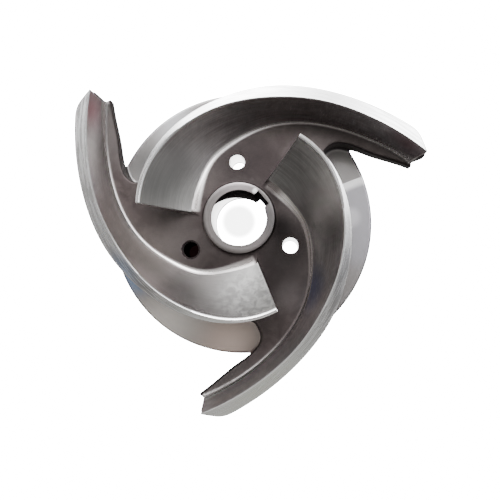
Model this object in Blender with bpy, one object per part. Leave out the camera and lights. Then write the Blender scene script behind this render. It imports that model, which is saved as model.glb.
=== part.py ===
import math

import bmesh
import bpy
import numpy as np

# Frame: metres, +Z along the shaft axis towards the inlet, +X through the middle of the keyway.
# Heights are given below the front face of the hub and lifted so the origin sits at the centre of mass.
HUB_FRONT_Z = 0.0450

# Hub, bore and key seat
BORE_RADIUS = 0.0275
BORE_CHAMFER = 0.0010
HUB_RADIUS = 0.0355
KEY_WIDTH = 0.0160
KEY_DEPTH = 0.0043
BACK_FACE = -0.0840
BOSS_RADIUS = 0.0480
BOSS_FACE = -0.0900

# Round back plate with its lower rim ledge
DISC_RADIUS = 0.1380
LEDGE = -0.0720
RIM_CHAMFER = 0.0035

# Balance holes through the back plate
HOLE_RADIUS = 0.0084
HOLE_CIRCLE = 0.0578
HOLE_ANGLE = 52.4

# Vanes: three, swept back clockwise seen from the inlet
VANE_COUNT = 3
VANE_ANGLE = 12.3
TIP_RADIUS = 0.1970
SWEEP_END = 153.2
EYE_RADIUS = 0.1030
FRONT_EYE = 0.0270
FRONT_TIP = 0.0060

# Sweep in degrees behind the leading edge, then radii and widths in metres
SWEEP = (0.0, 20.0, 40.0, 60.0, 80.0, 100.0, 120.0, 140.0, 153.2)
FRONT_RADIUS = (0.0970, 0.0995, 0.1010, 0.1042, 0.1106, 0.1218, 0.1415, 0.1700, 0.1960)
ROOT_RADIUS = (0.0418, 0.0447, 0.0526, 0.0661, 0.0802, 0.1019, 0.1268, 0.1572, 0.1814)
EDGE_WIDTH = (0.0040, 0.0045, 0.0060, 0.0076, 0.0100, 0.0132, 0.0130, 0.0145, 0.0150)
ROOT_WIDTH = (0.0090, 0.0110, 0.0140, 0.0160, 0.0170, 0.0180, 0.0185, 0.0190, 0.0190)
ROOT_HEIGHT = (-0.0081, -0.0088, -0.0111, -0.0158, -0.0211, -0.0290, -0.0349, -0.0321, -0.0213)
EMBED_IN = (0.0100, 0.0090, 0.0060, 0.0030, 0.0, 0.0, 0.0, 0.0, 0.0)
EMBED_DOWN = (0.0060, 0.0080, 0.0100, 0.0100, 0.0100, 0.0100, 0.0100, 0.0060, 0.0040)

# Outline of the raised floor behind one vane: (sweep, radius)
FLOOR_OUTER = ((15.0, 0.1050), (25.0, 0.0970), (40.0, 0.0910), (60.0, 0.0895), (80.0, 0.1035),
               (100.0, 0.1250), (120.0, 0.1500), (140.0, 0.1810), (153.5, 0.2050))
FLOOR_INNER = ((153.5, 0.1832), (155.5, 0.1815), (150.0, 0.1630), (145.0, 0.1499), (140.0, 0.1409),
               (136.3, 0.1342), (133.6, 0.1272), (132.5, 0.1203), (132.8, 0.1135), (134.0, 0.1070))
# Height of the raised floor and of its underside against radius
FLOOR_TOP = ((0.0330, -0.0050), (0.0480, -0.0085), (0.0600, -0.0125), (0.0800, -0.0200), (0.1000, -0.0275),
             (0.1200, -0.0330), (0.1350, -0.0350), (0.1500, -0.0335), (0.1650, -0.0285), (0.1850, -0.0190),
             (0.2100, -0.0070))
FLOOR_BACK = ((0.2100, -0.0330), (0.1850, -0.0410), (0.1650, -0.0510), (0.1450, -0.0640),
              (0.1340, -0.0760), (0.0330, -0.0760))

TURNS = 96
STATIONS = 48
FACE_POINTS = 7


def spline(xs, ys, x):
    """Natural cubic spline through the points, taken at x."""
    xs, ys = np.asarray(xs, float), np.asarray(ys, float)
    n = len(xs)
    h = np.diff(xs)
    a = np.zeros((n, n))
    b = np.zeros(n)
    a[0, 0] = a[-1, -1] = 1.0
    for i in range(1, n - 1):
        a[i, i - 1], a[i, i], a[i, i + 1] = h[i - 1], 2.0 * (h[i - 1] + h[i]), h[i]
        b[i] = 3.0 * ((ys[i + 1] - ys[i]) / h[i] - (ys[i] - ys[i - 1]) / h[i - 1])
    c = np.linalg.solve(a, b)
    k = np.clip(np.searchsorted(xs, x, side="right") - 1, 0, n - 2)
    t = x - xs[k]
    slope = (ys[k + 1] - ys[k]) / h[k] - h[k] * (2.0 * c[k] + c[k + 1]) / 3.0
    return ys[k] + slope * t + c[k] * t * t + (c[k + 1] - c[k]) / (3.0 * h[k]) * t ** 3


def add_object(name, verts, faces, smooth=True):
    mesh = bpy.data.meshes.new(name)
    mesh.from_pydata([tuple(map(float, v)) for v in verts], [], faces)
    solid = bmesh.new()
    solid.from_mesh(mesh)
    bmesh.ops.recalc_face_normals(solid, faces=solid.faces)
    solid.to_mesh(mesh)
    solid.free()
    mesh.shade_smooth() if smooth else mesh.shade_flat()
    obj = bpy.data.objects.new(name, mesh)
    bpy.context.scene.collection.objects.link(obj)
    return obj


def lathe(name, profile, turns=TURNS):
    """Closed ring turned from a closed profile of (radius, height below the hub face)."""
    verts, faces = [], []
    m = len(profile)
    for i in range(turns):
        a = 2.0 * math.pi * i / turns
        for r, z in profile:
            verts.append((r * math.cos(a), r * math.sin(a), z + HUB_FRONT_Z))
    for i in range(turns):
        j = (i + 1) % turns
        for k in range(m):
            n = (k + 1) % m
            faces.append((i * m + k, j * m + k, j * m + n, i * m + n))
    return add_object(name, verts, faces)


def prism(name, outline, low, high):
    """Upright solid from a flat outline, run counter-clockwise."""
    m = len(outline)
    verts = [(x, y, low + HUB_FRONT_Z) for x, y in outline]
    verts += [(x, y, high + HUB_FRONT_Z) for x, y in outline]
    faces = [(k, (k + 1) % m, m + (k + 1) % m, m + k) for k in range(m)]
    faces += [tuple(range(m - 1, -1, -1)), tuple(range(m, 2 * m))]
    return add_object(name, verts, faces, smooth=False)


def front_height(r):
    """Cone to which the front edges of the vanes are turned."""
    fall = (FRONT_EYE - FRONT_TIP) / (TIP_RADIUS - EYE_RADIUS)
    return FRONT_EYE - fall * max(0.0, r - EYE_RADIUS)


def vane_section(sweep):
    """Closed radial section of a vane: (radius, height) points, concave face first."""
    front = float(spline(SWEEP, FRONT_RADIUS, sweep))
    root = float(spline(SWEEP, ROOT_RADIUS, sweep))
    edge = float(spline(SWEEP, EDGE_WIDTH, sweep))
    foot = float(spline(SWEEP, ROOT_WIDTH, sweep))
    low = float(spline(SWEEP, ROOT_HEIGHT, sweep))
    inward = float(np.interp(sweep, SWEEP, EMBED_IN))
    down = float(np.interp(sweep, SWEEP, EMBED_DOWN))
    high = front_height(front)
    length = math.hypot(front - root, high - low)
    nr, nz = (high - low) / length, -(front - root) / length
    outer = front + edge
    a = (root, low)
    b = (root + 0.58 * (front - root), low + 0.36 * (high - low))
    c = (front, high)
    p = (outer, front_height(outer))
    mid = 0.5 * (edge + foot)
    q = (b[0] + nr * mid, b[1] + nz * mid)
    s = (root + nr * foot, low + nz * foot)
    points = [(root - inward, low - down)]
    for k in range(FACE_POINTS):
        t = k / (FACE_POINTS - 1)
        points.append(bezier(a, b, c, t))
    for k in range(FACE_POINTS):
        t = k / (FACE_POINTS - 1)
        points.append(bezier(p, q, s, t))
    points.append((s[0] - inward, s[1] - down))
    return points


def bezier(a, b, c, t):
    u = 1.0 - t
    return (u * u * a[0] + 2.0 * u * t * b[0] + t * t * c[0],
            u * u * a[1] + 2.0 * u * t * b[1] + t * t * c[1])


def vane(index):
    verts, faces = [], []
    base = math.radians(VANE_ANGLE + 360.0 / VANE_COUNT * index)
    for i in range(STATIONS + 1):
        sweep = SWEEP_END * i / STATIONS
        section = vane_section(sweep)
        m = len(section)
        a = base - math.radians(sweep)
        for r, z in section:
            verts.append((r * math.cos(a), r * math.sin(a), z + HUB_FRONT_Z))
    for i in range(STATIONS):
        for k in range(m):
            n = (k + 1) % m
            faces.append((i * m + k, i * m + n, (i + 1) * m + n))
            faces.append((i * m + k, (i + 1) * m + n, (i + 1) * m + k))
    faces.append(tuple(range(m - 1, -1, -1)))
    faces.append(tuple(range(STATIONS * m, STATIONS * m + m)))
    return add_object(f"vane_{index + 1}", verts, faces)


def floor_outline():
    """Three-lobed outline of the raised floor, run counter-clockwise."""
    def dense(rows, steps):
        rows = np.array(rows)
        s = np.concatenate([[0.0], np.cumsum(np.hypot(np.diff(rows[:, 0]) * 0.0023, np.diff(rows[:, 1])))])
        t = np.linspace(0.0, s[-1], steps)
        return np.stack([spline(s, rows[:, 0], t), spline(s, rows[:, 1], t)], 1)

    points = []
    for index in range(VANE_COUNT):
        base = VANE_ANGLE - 360.0 / VANE_COUNT * index
        rows = np.concatenate([dense(FLOOR_OUTER, 34), FLOOR_INNER[:1], dense(FLOOR_INNER[1:], 22)])
        for sweep, r in rows:
            a = math.radians(base - sweep)
            points.append((r * math.cos(a), r * math.sin(a)))
    return points[::-1]


def combine(target, tool, operation):
    """Boolean, with the tool kept as a wire-drawn helper."""
    mod = target.modifiers.new(tool.name, "BOOLEAN")
    mod.operation = operation
    mod.solver = "EXACT"
    mod.object = tool
    tool.hide_render = True
    tool.display_type = "WIRE"


def hub_and_disc():
    c = BORE_CHAMFER
    k = RIM_CHAMFER
    profile = [(BORE_RADIUS + c, 0.0), (BORE_RADIUS, -c), (BORE_RADIUS, BOSS_FACE + c),
               (BORE_RADIUS + c, BOSS_FACE), (BOSS_RADIUS - c, BOSS_FACE), (BOSS_RADIUS, BOSS_FACE + c),
               (BOSS_RADIUS + 0.002, BACK_FACE), (DISC_RADIUS - c, BACK_FACE),
               (DISC_RADIUS, BACK_FACE + c), (DISC_RADIUS, LEDGE - k), (DISC_RADIUS - 0.3 * k, LEDGE - 0.3 * k),
               (DISC_RADIUS - k, LEDGE), (0.0600, LEDGE), (0.0440, -0.0250), (0.0398, -0.0082),
               (0.0374, -0.0048), (HUB_RADIUS + 0.0006, -0.0010), (HUB_RADIUS, 0.0)]
    return lathe("impeller_casting", profile)


def raised_floor():
    body = lathe("raised_floor", list(FLOOR_BACK) + list(FLOOR_TOP))
    lobes = prism("floor_lobes", floor_outline(), -0.0900, 0.0050)
    combine(body, lobes, "INTERSECT")
    return body


def turned_diameter():
    outline = [(TIP_RADIUS * math.cos(t), TIP_RADIUS * math.sin(t))
               for t in np.linspace(0.0, 2.0 * math.pi, 2 * TURNS + 1)[:-1]]
    return prism("turned_diameter", outline, -0.1000, 0.0400)


def balance_hole(index):
    a = math.radians(HOLE_ANGLE + 120.0 * index)
    x, y = HOLE_CIRCLE * math.cos(a), HOLE_CIRCLE * math.sin(a)
    outline = [(x + HOLE_RADIUS * math.cos(t), y + HOLE_RADIUS * math.sin(t))
               for t in np.linspace(0.0, 2.0 * math.pi, 25)[:-1]]
    return prism(f"balance_hole_{index + 1}", outline, -0.1000, 0.0100)


def keyway():
    w = KEY_WIDTH / 2.0
    reach = BORE_RADIUS + KEY_DEPTH
    return prism("keyway", [(0.0200, -w), (reach, -w), (reach, w), (0.0200, w)], -0.1000, 0.0100)


def metal():
    material = bpy.data.materials.new("stainless_casting")
    material.use_nodes = True
    shader = material.node_tree.nodes["Principled BSDF"]
    shader.inputs["Base Color"].default_value = (0.36, 0.34, 0.33, 1.0)
    shader.inputs["Metallic"].default_value = 1.0
    shader.inputs["Roughness"].default_value = 0.38
    return material


def build():
    for obj in list(bpy.data.objects):
        bpy.data.objects.remove(obj, do_unlink=True)
    casting = hub_and_disc()
    combine(casting, raised_floor(), "UNION")
    for index in range(VANE_COUNT):
        combine(casting, vane(index), "UNION")
    combine(casting, turned_diameter(), "INTERSECT")
    combine(casting, keyway(), "DIFFERENCE")
    for index in range(3):
        combine(casting, balance_hole(index), "DIFFERENCE")
    casting.data.materials.append(metal())


build()
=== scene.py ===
import math

import bpy
import numpy as np
from mathutils import Matrix, Vector
from mathutils.geometry import tessellate_polygon


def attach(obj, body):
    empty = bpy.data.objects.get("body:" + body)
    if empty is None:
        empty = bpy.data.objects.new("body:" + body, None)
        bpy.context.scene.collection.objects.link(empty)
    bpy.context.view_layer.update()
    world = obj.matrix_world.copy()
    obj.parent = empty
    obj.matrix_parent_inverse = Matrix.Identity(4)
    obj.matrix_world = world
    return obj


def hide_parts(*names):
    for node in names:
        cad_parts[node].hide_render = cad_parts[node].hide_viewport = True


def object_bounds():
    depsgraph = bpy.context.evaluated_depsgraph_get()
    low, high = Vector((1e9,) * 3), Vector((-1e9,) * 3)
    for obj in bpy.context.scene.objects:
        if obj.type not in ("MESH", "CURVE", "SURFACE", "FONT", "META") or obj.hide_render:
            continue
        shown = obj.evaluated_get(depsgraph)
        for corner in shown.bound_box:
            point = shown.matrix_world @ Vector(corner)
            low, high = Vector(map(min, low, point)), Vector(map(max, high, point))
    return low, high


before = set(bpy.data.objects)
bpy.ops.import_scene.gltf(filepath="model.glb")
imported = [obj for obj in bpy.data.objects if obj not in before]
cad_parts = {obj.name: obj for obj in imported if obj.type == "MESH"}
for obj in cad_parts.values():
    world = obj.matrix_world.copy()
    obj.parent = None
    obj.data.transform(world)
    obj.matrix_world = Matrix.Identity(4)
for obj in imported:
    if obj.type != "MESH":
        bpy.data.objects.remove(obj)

CAD_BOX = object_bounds()

# Camera and stage.
# The impeller lies on its back on a white lit table with the inlet side up. The camera looks down on it from
# where the photograph was taken, a little off the shaft axis, with the keyway turned to the upper right.
HUB_FRONT_Z = 0.0450
KEYWAY_TURN = math.radians(-40.0)
CAMERA_PLACE = Vector((0.0432, -0.0796, 0.9895))
CAMERA_TILT = (math.radians(-2.75), math.radians(-1.86))
FOCAL_LENGTH = 72.0
SENSOR_WIDTH = 36.0
VIEW_DEPTH = 20.0
TABLE_HALF = 6.0
TABLE_Z = CAD_BOX[0][2] - 0.0003
TABLE_DEPTH = TABLE_Z - HUB_FRONT_Z
TABLE_GLOW = 26.0
UNDER_GLOW = 7.0
NEAR_TABLE = 0.0140
HOLE_CIRCLE = 0.0578
HOLE_TURN = 52.4
NO_PLACE = (0.0, 0.0, 0.0)

photo_turn = Matrix.Rotation(KEYWAY_TURN, 3, "Z")
camera_turn = (Matrix.Rotation(CAMERA_TILT[0], 3, "X") @ Matrix.Rotation(CAMERA_TILT[1], 3, "Y")).transposed()
camera = bpy.data.objects.new("camera", bpy.data.cameras.new("camera"))
camera.data.sensor_width = SENSOR_WIDTH
camera.data.lens = FOCAL_LENGTH
camera.data.clip_end = VIEW_DEPTH
camera.matrix_world = (photo_turn @ camera_turn).to_4x4()
camera.location = photo_turn @ CAMERA_PLACE + Vector((0.0, 0.0, HUB_FRONT_Z))
bpy.context.scene.collection.objects.link(camera)
bpy.context.scene.camera = camera


def put_mesh(name, points, faces, along=None):
    """Mesh from an array of points and one of triangles or quads, each a row of point numbers. A UV map
    is added where the lengths along and across the piece are given for each point."""
    mesh = bpy.data.meshes.new(name)
    mesh.vertices.add(len(points))
    mesh.vertices.foreach_set("co", np.ascontiguousarray(points, np.float32).ravel())
    mesh.loops.add(faces.size)
    mesh.loops.foreach_set("vertex_index", np.ascontiguousarray(faces, np.int32).ravel())
    mesh.polygons.add(len(faces))
    mesh.polygons.foreach_set("loop_start", np.arange(0, faces.size, faces.shape[1], dtype=np.int32))
    mesh.update(calc_edges=True)
    mesh.shade_smooth()
    if along is not None:
        layer = mesh.uv_layers.new(name="along")
        layer.data.foreach_set("uv", np.ascontiguousarray(along[faces.ravel()], np.float32).ravel())
    piece = bpy.data.objects.new(name, mesh)
    bpy.context.scene.collection.objects.link(piece)
    return piece


def add_node(tree, kind, feeds, **settings):
    """Node with its settings made and its sockets fed, each by a value or by another node's socket."""
    node = tree.nodes.new("ShaderNode" + kind)
    for name, value in settings.items():
        setattr(node, name, value)
    for socket, feed in feeds.items():
        if isinstance(feed, bpy.types.NodeSocket):
            tree.links.new(feed, node.inputs[socket])
        else:
            node.inputs[socket].default_value = feed
    return node


def maths(tree, operation, first, second=0.0):
    """Result of a sum on one or two values."""
    return add_node(tree, "Math", {0: first, 1: second}, operation=operation).outputs[0]


def times(tree, first, second):
    """Product of two values."""
    return maths(tree, "MULTIPLY", first, second)


def vector_maths(tree, operation, first, second=NO_PLACE):
    """Result of a sum on one or two vectors: a value for a length, a distance or a dot product."""
    node = add_node(tree, "VectorMath", {0: first, 1: second}, operation=operation)
    return node.outputs["Value" if operation in ("LENGTH", "DISTANCE", "DOT_PRODUCT") else "Vector"]


def part_of(tree, vector, axis):
    """One of the three numbers of a vector, where axis 0 is the first."""
    return add_node(tree, "SeparateXYZ", {0: vector}).outputs[axis]


def eased(tree, value, start, end, low=0.0, high=1.0):
    """Value that goes smoothly from low to high while the given one goes from start to end."""
    feeds = {"Value": value, "From Min": start, "From Max": end, "To Min": low, "To Max": high}
    return add_node(tree, "MapRange", feeds, interpolation_type="SMOOTHSTEP").outputs[0]


def mixed(tree, share, first, second):
    """Colour between two colours, each three numbers or a node's socket, at a share of the way."""
    first, second = (c if isinstance(c, bpy.types.NodeSocket) else (*c, 1.0) for c in (first, second))
    return add_node(tree, "Mix", {0: share, 6: first, 7: second}, data_type="RGBA").outputs[2]


def effect_group(name, feeds, results):
    """Empty node group with named inputs and their first values, and named outputs. Gives the group and the
    sockets of its two ends."""
    group = bpy.data.node_groups.new(name, "ShaderNodeTree")
    for label, value in feeds.items():
        kind = "NodeSocketFloat" if isinstance(value, float) else "NodeSocketVector"
        group.interface.new_socket(label, in_out="INPUT", socket_type=kind).default_value = value
    for label in results:
        group.interface.new_socket(label, in_out="OUTPUT", socket_type="NodeSocketFloat")
    return group, group.nodes.new("NodeGroupInput").outputs, group.nodes.new("NodeGroupOutput").inputs


soft_patch, given, wanted = effect_group(
    "soft_patch", {"Point": NO_PLACE, "Centre": NO_PLACE, "Reach": 0.01, "Core": 0.0}, ["Mask"])
gap = vector_maths(soft_patch, "DISTANCE", given["Point"], given["Centre"])
soft_patch.links.new(eased(soft_patch, gap, given["Reach"], given["Core"]), wanted["Mask"])


def patch(tree, point, centre, reach, core=0.0):
    """Mask that is one within the core distance of a centre and fades to zero at its reach."""
    feeds = {"Point": point, "Centre": centre, "Reach": reach, "Core": core}
    return add_node(tree, "Group", feeds, node_tree=soft_patch).outputs["Mask"]


def round_spot(turn, radius, height):
    """Place at a turn in degrees from the keyway, a radius from the axis and a height below the hub face."""
    turn = math.radians(turn)
    return radius * math.cos(turn), radius * math.sin(turn), height + HUB_FRONT_Z


table_points = TABLE_HALF * np.array([[-1, -1, 0], [1, -1, 0], [1, 1, 0], [-1, 1, 0]]) + [0.0, 0.0, TABLE_Z]
table = put_mesh("table_top", table_points, np.array([[0, 1, 2, 3]]))
table_paint = bpy.data.materials.new("table_top")
table_paint.use_nodes = True
tree = table_paint.node_tree
tree.nodes.remove(tree.nodes["Principled BSDF"])
point = add_node(tree, "TexCoord", {}).outputs["Object"]
# Camera sees the white table with painted shade: grey under the bore and plate, black under the left hole.
oval = patch(tree, point, (-0.0009, 0.0050, TABLE_Z), 0.0235, 0.0140)
lit = mixed(tree, oval, (1, 1, 1), (0.24, 0.242, 0.24))
spread = vector_maths(tree, "DISTANCE", point, (0.0, 0.0, TABLE_Z))
shade = times(tree, eased(tree, spread, 0.075, 0.090), eased(tree, spread, 0.139, 0.124))
lit = mixed(tree, shade, lit, (0.03, 0.03, 0.03))
lit = mixed(tree, patch(tree, point, round_spot(164.7, 0.0637, TABLE_DEPTH), 0.017, 0.0145), lit,
            (0.00025, 0.0001, 0.0001))
glow = add_node(tree, "Emission", {"Color": lit, "Strength": TABLE_GLOW}).outputs[0]
# All else sees light under the bore and under two of the balance holes, and no table from below.
openings = patch(tree, point, (0.0, 0.0, TABLE_Z), 0.0290, 0.0270)
for turn in (HOLE_TURN, HOLE_TURN - 120.0):
    hole = patch(tree, point, round_spot(turn, HOLE_CIRCLE, TABLE_DEPTH), 0.0086, 0.0074)
    openings = maths(tree, "MAXIMUM", openings, hole)
from_above = maths(tree, "SUBTRACT", 1.0, add_node(tree, "NewGeometry", {}).outputs["Backfacing"])
light_path = add_node(tree, "LightPath", {}).outputs
from_afar = maths(tree, "GREATER_THAN", light_path["Ray Length"], NEAR_TABLE)
openings = times(tree, openings, times(tree, from_above, from_afar))
clear = add_node(tree, "BsdfTransparent", {}).outputs[0]
shine = add_node(tree, "Emission", {"Strength": UNDER_GLOW}).outputs[0]
look = add_node(tree, "MixShader", {0: openings, 1: clear, 2: shine}).outputs[0]
seen = times(tree, light_path["Is Camera Ray"], from_above)
look = add_node(tree, "MixShader", {0: seen, 1: look, 2: glow}).outputs[0]
tree.links.new(look, tree.nodes["Material Output"].inputs["Surface"])
table.data.materials.append(table_paint)


# Hub.
# A short tube of cast stainless steel that the shaft goes through. Its front face and its bore are machined,
# with the edges broken, and one keyway is cut along the bore. Its flank runs out into the channel floor.
BORE_RADIUS = 0.0275
KEY_WIDTH = 0.016
KEY_REACH = 0.0318
BORE_CHAMFER = 0.0006
HUB_RADIUS = 0.0355
HUB_ROUND = 0.0006
HUB_FLARE = 0.10
HUB_TUCK = 0.00006
BOSS_FACE = -0.0900
BORE_STEPS = 240
BORE_COLS = 22
MACHINED_CORNER = math.radians(30.0)
# Where the bore wall's painted shade lies: its turn, the slope and softness of its edge, and its black.
SHADE_TURN = math.radians(23.0)
SHADE_SLOPE = 0.090 / BORE_RADIUS
SHADE_EDGE = 0.002
SHADE_BLACK = (0.006, 0.005, 0.005)
BRIGHT_WALL = ((0.78, 0.77, 0.76), (0.92, 0.91, 0.90))


def grid_faces(rows, cols, closed):
    """Quads between the neighbours of a grid of rows times cols points, with the last row joined to the first
    where it is closed."""
    i = np.arange(rows if closed else rows - 1)[:, None]
    j = np.arange(cols - 1)[None, :]
    i, j = (a.ravel() for a in np.broadcast_arrays(i, j))
    i_next = (i + 1) % rows
    return np.stack([i * cols + j, i_next * cols + j, i_next * cols + j + 1, i * cols + j + 1], 1)


def put_grid(name, grid, corner, closed=True, flipped=False, along=None):
    """Mesh from a grid of points, crisp where its faces meet at more than the corner angle, with the faces
    turned over where flipped."""
    faces = grid_faces(*grid.shape[:2], closed)
    piece = put_mesh(name, grid.reshape(-1, 3), faces[:, ::-1] if flipped else faces, along)
    piece.data.set_sharp_from_angle(angle=corner)
    return piece


def placed(angle, radius, *height):
    """Points x = radius cos(angle), y = radius sin(angle), and z where a height is given."""
    return np.stack(np.broadcast_arrays(radius * np.cos(angle), radius * np.sin(angle), *height), -1)


def ring_point(angle, radius, height):
    """Point at an angle round the shaft, a radius from it and a height below the hub's front face."""
    return placed(angle, radius, height + HUB_FRONT_Z)


def keyed_bore(angle):
    """Radius of the bore wall at each angle: the round bore, or the keyway's side or bottom where that is
    further."""
    side = 0.5 * KEY_WIDTH / np.maximum(np.abs(np.sin(angle)), 1e-9)
    bottom = KEY_REACH / np.maximum(np.cos(angle), 1e-9)
    slot = np.where(np.cos(angle) > 0.0, np.minimum(side, bottom), 0.0)
    return np.maximum(BORE_RADIUS, slot)


def keyed_turns():
    """Angles round the bore, even ones and the keyway's own corners."""
    corner = [math.atan2(0.5 * KEY_WIDTH, KEY_REACH), math.asin(0.5 * KEY_WIDTH / BORE_RADIUS)]
    even = np.linspace(0.0, 2.0 * math.pi, BORE_STEPS, endpoint=False)
    angle = np.concatenate([even, corner, [-c for c in corner]])
    return np.sort(angle % (2.0 * math.pi))[:, None]


def hub_surface():
    """Rings round the shaft, one for each point of a profile that runs up the bore, over the front face and
    down the flank. The first rings take the keyed radius, the last ones are round."""
    angle = keyed_turns()
    bore = keyed_bore(angle)
    lip = bore + BORE_CHAMFER
    profile = [(bore, h) for h in np.linspace(BOSS_FACE + BORE_CHAMFER, -BORE_CHAMFER, BORE_COLS)]
    profile += [(lip + t * (HUB_RADIUS - HUB_ROUND - lip), 0.0) for t in (0.0, 0.3, 0.6, 1.0)]
    profile += [(HUB_RADIUS - 0.3 * HUB_ROUND, -0.3 * HUB_ROUND), (HUB_RADIUS, -HUB_ROUND),
                (HUB_RADIUS + 0.00015, -0.0015)]
    profile += [(HUB_RADIUS - HUB_FLARE * h - HUB_TUCK, h) for h in np.linspace(-0.0026, -0.0070, 4)]
    return np.concatenate([ring_point(angle, r, h) for r, h in profile], 1)


hub_points = hub_surface()
hub = put_grid("hub", hub_points, MACHINED_CORNER)
in_bore = np.arange(len(hub.data.polygons)) % (hub_points.shape[1] - 1) < BORE_COLS - 1
hub.data.polygons.foreach_set("material_index", in_bore.astype(np.int32))

tree, given, wanted = effect_group("cast_skin", {"Point": NO_PLACE, "Grain": 0.001}, ["Height", "Mottle"])
cast_skin = tree
per_metre = maths(tree, "DIVIDE", 1.0, given["Grain"])
fine = add_node(tree, "TexNoise", {"Vector": given["Point"], "Scale": per_metre, "Detail": 4.0,
                                   "Roughness": 0.6}).outputs["Fac"]
broad = add_node(tree, "TexNoise", {"Vector": given["Point"], "Scale": times(tree, per_metre, 0.05),
                                    "Detail": 3.0, "Roughness": 0.55, "Distortion": 0.6}).outputs["Fac"]
tree.links.new(fine, wanted["Height"])
tree.links.new(eased(tree, broad, 0.36, 0.64), wanted["Mottle"])

tree, given, wanted = effect_group("turned_marks", {"Point": NO_PLACE, "Pitch": 0.0005}, ["Height", "Streak"])
turned_marks = tree
flat = vector_maths(tree, "MULTIPLY", given["Point"], (1.0, 1.0, 0.0))
away = maths(tree, "DIVIDE", vector_maths(tree, "LENGTH", flat), given["Pitch"])
rings = add_node(tree, "CombineXYZ", {2: away}).outputs[0]
rings = vector_maths(tree, "ADD", vector_maths(tree, "NORMALIZE", flat), rings)
depth = maths(tree, "DIVIDE", part_of(tree, given["Point"], 2), given["Pitch"])
ridge = add_node(tree, "TexNoise", {"Vector": rings, "W": depth, "Scale": 1.0, "Detail": 3.0,
                                    "Roughness": 0.65}, noise_dimensions="4D").outputs["Fac"]
tree.links.new(ridge, wanted["Height"])
tree.links.new(eased(tree, ridge, 0.33, 0.67), wanted["Streak"])


def steel(name):
    """Material of bare metal. Gives it with its node tree, its shader and the place on the object."""
    material = bpy.data.materials.new(name)
    material.use_nodes = True
    tree = material.node_tree
    shader = tree.nodes["Principled BSDF"]
    shader.inputs["Metallic"].default_value = 1.0
    return material, tree, shader, add_node(tree, "TexCoord", {}).outputs["Object"]


def skin_of(tree, point, grain):
    """Cast skin effect at a grain size."""
    return add_node(tree, "Group", {"Point": point, "Grain": grain}, node_tree=cast_skin).outputs


def marks_of(tree, point, pitch):
    """Turning marks effect at a pitch."""
    return add_node(tree, "Group", {"Point": point, "Pitch": pitch}, node_tree=turned_marks).outputs


def daubed(tree, point, paint, daubs):
    """Colour with soft daubs of other colours on it. Each has its turn, radius and height, its reach, its
    strength and its colour, and a core where it has one."""
    for turn, radius, height, reach, share, tone, *core in daubs:
        here = patch(tree, point, round_spot(turn, radius, height), reach, *core)
        paint = mixed(tree, times(tree, here, share), paint, tone)
    return paint


def dress(tree, shader, paint, roughness, height, depth, strength=1.0):
    """Gives a metal its colour, its roughness and a bump of a depth in metres."""
    bump = add_node(tree, "Bump", {"Height": height, "Distance": depth, "Strength": strength}).outputs[0]
    for name, feed in (("Base Color", paint), ("Roughness", roughness), ("Normal", bump)):
        tree.links.new(feed, shader.inputs[name])


def dull_painted_shade(tree, shader, painted_shade):
    """Takes the metal's shine away where painted shade makes it black."""
    tree.links.new(maths(tree, "SUBTRACT", 1.0, painted_shade), shader.inputs["Metallic"])
    shader.inputs["Specular IOR Level"].default_value = 0.0


turned_hub, tree, shader, point = steel("turned_hub")
marks = marks_of(tree, point, 0.0006)
skin = skin_of(tree, point, 0.0008)
paint = mixed(tree, marks["Streak"], (0.180, 0.162, 0.160), (0.212, 0.194, 0.191))
paint = mixed(tree, times(tree, skin["Mottle"], 0.5), paint, (0.180, 0.175, 0.168))
# Painted light and shade on the face: darker towards the right of the view, lighter towards its top.
paint = daubed(tree, point, paint, (
    (-40.0, 0.032, 0.0, 0.030, 0.75, (0.10, 0.097, 0.097)),
    (52.0, 0.032, 0.0, 0.030, 0.90, (0.36, 0.325, 0.33))))
# Painted shade: the flank below the face's edge is dark, as a thin shadow round the hub.
flank = eased(tree, part_of(tree, point, 2), HUB_FRONT_Z - 0.0003, HUB_FRONT_Z - 0.0009)
paint = mixed(tree, flank, paint, (0.05, 0.04, 0.037))
# Painted highlight: a small white spot near the face's edge.
paint = daubed(tree, point, paint, ((19.5, 0.0312, 0.0, 0.0035, 1.0, (1.0, 0.98, 0.96), 0.001),))
dress(tree, shader, paint, eased(tree, marks["Streak"], 0.0, 1.0, 0.36, 0.50), marks["Height"], 0.00002)

bore_wall, tree, shader, point = steel("bore_wall")
marks = marks_of(tree, point, 0.0004)
skin = skin_of(tree, point, 0.0008)
# Painted shade: the wall is black and dull on one side near the mouth, past a tilted plane.
shade_plane = (SHADE_SLOPE * math.cos(SHADE_TURN), SHADE_SLOPE * math.sin(SHADE_TURN), 1.0)
beyond = vector_maths(tree, "DOT_PRODUCT", point, shade_plane)
painted_shade = eased(tree, beyond, HUB_FRONT_Z - SHADE_EDGE, HUB_FRONT_Z + SHADE_EDGE)
paint = mixed(tree, marks["Streak"], *BRIGHT_WALL)
paint = mixed(tree, painted_shade, paint, SHADE_BLACK)
dress(tree, shader, paint, eased(tree, painted_shade, 0.0, 1.0, 0.5, 0.9), skin["Height"], 0.00003)
dull_painted_shade(tree, shader, painted_shade)


def belongs(piece, *materials):
    """Gives a piece its materials, and says that it shows part of the casting and turns with it."""
    for material in materials:
        piece.data.materials.append(material)
    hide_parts("impeller_casting")
    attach(piece, "root")


belongs(hub, turned_hub, bore_wall)


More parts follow.
